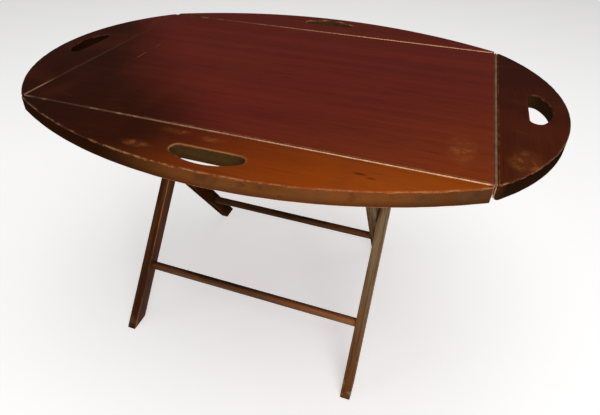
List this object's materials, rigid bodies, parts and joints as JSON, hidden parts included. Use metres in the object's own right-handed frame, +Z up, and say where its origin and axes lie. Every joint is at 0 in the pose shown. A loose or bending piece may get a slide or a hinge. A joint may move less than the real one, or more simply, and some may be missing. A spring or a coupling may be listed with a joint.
{
  "type": "butler's tray table",
  "caption": "Butler's tray table: a rectangular wooden tray with hinged curved leaves that open to an oval, each with a hand-hole, on a folding X-shaped stand with lower rods.",
  "frame": {"origin": "on the floor, under the middle of the open tray", "axes": "+X along the tray's length, +Y from the side where the outer frame's feet stand to the other side, +Z up"},
  "size_m": [0.857, 0.637, 0.5041],
  "materials": {
    "mahogany": "dark red-brown mahogany, worn shellac polish",
    "leg_wood": "brown stained mahogany, rubbed pale on the outer faces",
    "brass": "dull unpolished brass",
    "steel": "dull plated steel",
    "webbing": "plain woven jute and cotton webbing"
  },
  "bodies": {
    "outer_frame": {"outer_leg_left": "leg_wood", "outer_leg_right": "leg_wood", "outer_rod": "leg_wood", "outer_top_rail": "leg_wood", "pivot_bolt_left": "steel", "pivot_bolt_right": "steel", "pivot_spacer_washer_left": "steel", "pivot_spacer_washer_right": "steel", "pivot_end_washer_left": "steel", "pivot_end_washer_right": "steel", "pivot_nut_left": "steel", "pivot_nut_right": "steel", "strap_left": "webbing", "strap_right": "webbing"},
    "inner_frame": {"inner_leg_left": "leg_wood", "inner_leg_right": "leg_wood", "inner_rod": "leg_wood", "inner_top_rail": "leg_wood"},
    "tray": {"tray_board": "mahogany", "front_hinge_fixed_plate": "brass", "front_hinge_pin": "brass", "back_hinge_fixed_plate": "brass", "back_hinge_pin": "brass", "left_hinge_fixed_plate": "brass", "left_hinge_pin": "brass", "right_hinge_fixed_plate": "brass", "right_hinge_pin": "brass"},
    "front_leaf": {"front_leaf": "mahogany", "front_hinge_moving_plate": "brass"},
    "back_leaf": {"back_leaf": "mahogany", "back_hinge_moving_plate": "brass"},
    "left_leaf": {"left_leaf": "mahogany", "left_hinge_moving_plate": "brass"},
    "right_leaf": {"right_leaf": "mahogany", "right_hinge_moving_plate": "brass"}
  },
  "joints": [
    {"name": "stand_fold", "type": "hinge", "parent": "outer_frame", "child": "inner_frame", "pos_m": [-0.025, 0, 0.2585], "axis": [-1, 0, 0], "range_deg": [0, 61], "deforming": ["strap_left", "strap_right"]},
    {"name": "tray_lift", "type": "slide", "parent": "outer_frame", "child": "tray", "axis": [0, 0, 1], "range_m": [0, 0.25]},
    {"name": "front_leaf_fold", "type": "hinge", "parent": "tray", "child": "front_leaf", "pos_m": [0, -0.225, 0.502], "axis": [-1, 0, 0], "range_deg": [0, 90]},
    {"name": "back_leaf_fold", "type": "hinge", "parent": "tray", "child": "back_leaf", "pos_m": [0, 0.225, 0.502], "axis": [1, 0, 0], "range_deg": [0, 90]},
    {"name": "left_leaf_fold", "type": "hinge", "parent": "tray", "child": "left_leaf", "pos_m": [-0.33, 0, 0.502], "axis": [0, 1, 0], "range_deg": [0, 90]},
    {"name": "right_leaf_fold", "type": "hinge", "parent": "tray", "child": "right_leaf", "pos_m": [0.33, 0, 0.502], "axis": [0, -1, 0], "range_deg": [0, 90]}
  ],
  "couplings": [
    {"joint": "tray_lift", "follows": "stand_fold", "m_per_rad": 0.23}
  ]
}
